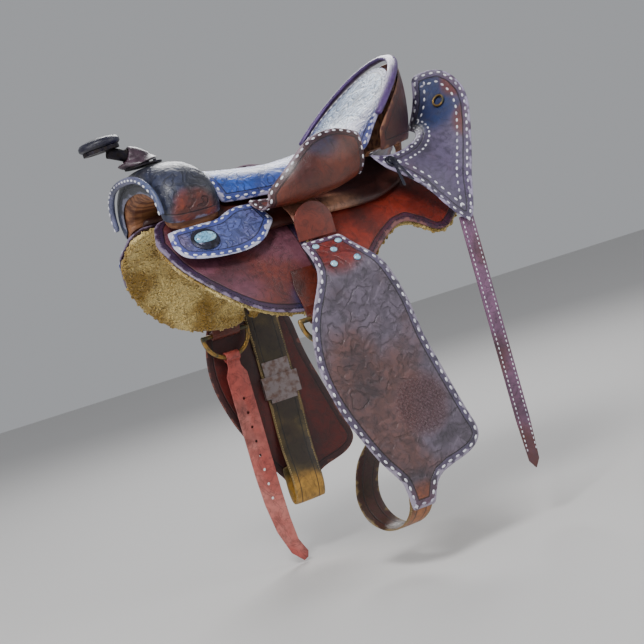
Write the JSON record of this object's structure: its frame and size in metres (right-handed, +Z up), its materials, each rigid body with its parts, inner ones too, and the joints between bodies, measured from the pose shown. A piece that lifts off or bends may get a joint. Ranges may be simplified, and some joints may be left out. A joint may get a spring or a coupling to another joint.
{
  "type": "western saddle",
  "caption": "Old western stock saddle with horn, high cantle, curled jockeys, fenders and empty stirrup leathers.",
  "frame": {"origin": "centre of the seat strainer's flat underside, which a rail or saddle rack carries", "axes": "+X to the horse's head (horn end), +Y to the horse's near (left) side, +Z up"},
  "size_m": [0.7415, 0.506, 0.9302],
  "materials": {
    "tree_wood": "satin",
    "horn_iron": "dull",
    "steel": "satin",
    "brass": "patinated",
    "turquoise": "polished stone",
    "woolskin": "woolly",
    "seat_blue": "tooled",
    "grey_violet": "satin",
    "rust": "satin",
    "fender_mauve": "basket stamped",
    "olive": "oiled",
    "raw_leather": "undyed",
    "horn_leather": "satin",
    "dark_leather": "waxed",
    "binding_purple": "satin"
  },
  "bodies": {
    "saddle": {"tree_bar_near": "tree_wood", "tree_bar_off": "tree_wood", "tree_fork": "tree_wood", "tree_cantle": "tree_wood", "horn_core": "horn_iron", "horn_bolts": "horn_iron", "horn_neck_wrap": "horn_leather", "horn_cap": "dark_leather", "seat_strainer": "steel", "strainer_screws": "steel", "ground_seat": "rust", "seat_leather": "seat_blue", "fork_cover": "seat_blue", "gullet_roll": "grey_violet", "cantle_back": "rust", "cantle_binding": "binding_purple", "front_jockey_near": "seat_blue", "front_jockey_off": "seat_blue", "seat_jockey_near": "grey_violet", "seat_jockey_off": "grey_violet", "rear_jockey_near": "grey_violet", "rear_jockey_off": "grey_violet", "front_skirt_near": "rust", "front_skirt_off": "rust", "rear_skirt_near": "rust", "rear_skirt_off": "rust", "front_lining_near": "woolskin", "front_lining_off": "woolskin", "rear_lining_near": "woolskin", "rear_lining_off": "woolskin", "leather_hanger_near": "raw_leather", "leather_hanger_off": "raw_leather", "rigging_strap_near": "rust", "rigging_strap_off": "rust", "front_concho_near": "turquoise", "front_concho_off": "turquoise", "jockey_ring_near": "brass", "jockey_ring_off": "brass"},
    "leather_near": {"leather_top_near": "raw_leather"},
    "fender_near": {"fender_near": "fender_mauve", "stirrup_loop_near": "olive", "fender_studs_near": "turquoise", "buckle_plate_near": "steel"},
    "sleeve_near": {"buckle_sleeve_near": "steel"},
    "dee_near": {"rigging_dee_near": "brass"},
    "tail_strap_near": {"tail_strap_near": "grey_violet"},
    "leather_off": {"leather_top_off": "raw_leather"},
    "fender_off": {"fender_off": "fender_mauve", "stirrup_loop_off": "olive", "fender_studs_off": "turquoise", "buckle_plate_off": "steel"},
    "sleeve_off": {"buckle_sleeve_off": "steel"},
    "dee_off": {"rigging_dee_off": "brass"},
    "tail_strap_off": {"tail_strap_off": "grey_violet"},
    "latigo": {"latigo": "rust"},
    "off_billet": {"off_billet": "rust"}
  },
  "joints": [
    {"name": "leather_swing_near", "type": "hinge", "parent": "saddle", "child": "leather_near", "pos_m": [0.008, 0.179, -0.101], "axis": [0, -1, 0], "range_deg": [-20, 25]},
    {"name": "fender_lift_near", "type": "hinge", "parent": "leather_near", "child": "fender_near", "pos_m": [0.008, 0.179, -0.128], "axis": [1, 0, 0], "range_deg": [0, 60]},
    {"name": "buckle_sleeve_slide_near", "type": "slide", "parent": "fender_near", "child": "sleeve_near", "axis": [0, 0, 1], "range_m": [0, 0.04]},
    {"name": "dee_swing_near", "type": "hinge", "parent": "saddle", "child": "dee_near", "pos_m": [0.062, 0.231, -0.262], "axis": [-1, 0, 0], "range_deg": [0, 25]},
    {"name": "tail_strap_swing_near", "type": "hinge", "parent": "saddle", "child": "tail_strap_near", "pos_m": [-0.288, 0.202, -0.168], "axis": [-1, 0, 0], "range_deg": [0, 22]},
    {"name": "leather_swing_off", "type": "hinge", "parent": "saddle", "child": "leather_off", "pos_m": [0.008, -0.179, -0.101], "axis": [0, -1, 0], "range_deg": [-20, 1.5]},
    {"name": "fender_lift_off", "type": "hinge", "parent": "leather_off", "child": "fender_off", "pos_m": [0.008, -0.179, -0.128], "axis": [-1, 0, 0], "range_deg": [0, 60]},
    {"name": "buckle_sleeve_slide_off", "type": "slide", "parent": "fender_off", "child": "sleeve_off", "axis": [0, 0, 1], "range_m": [0, 0.04]},
    {"name": "dee_swing_off", "type": "hinge", "parent": "saddle", "child": "dee_off", "pos_m": [0.062, -0.231, -0.262], "axis": [1, 0, 0], "range_deg": [0, 25]},
    {"name": "tail_strap_swing_off", "type": "hinge", "parent": "saddle", "child": "tail_strap_off", "pos_m": [-0.288, -0.202, -0.168], "axis": [1, 0, 0], "range_deg": [0, 22]},
    {"name": "latigo_swing", "type": "hinge", "parent": "dee_near", "child": "latigo", "pos_m": [0.062, 0.231, -0.262], "axis": [0, -1, 0], "range_deg": [-2, 12]},
    {"name": "off_billet_swing", "type": "hinge", "parent": "dee_off", "child": "off_billet", "pos_m": [0.062, -0.231, -0.262], "axis": [0, -1, 0], "range_deg": [-2, 12]}
  ]
}
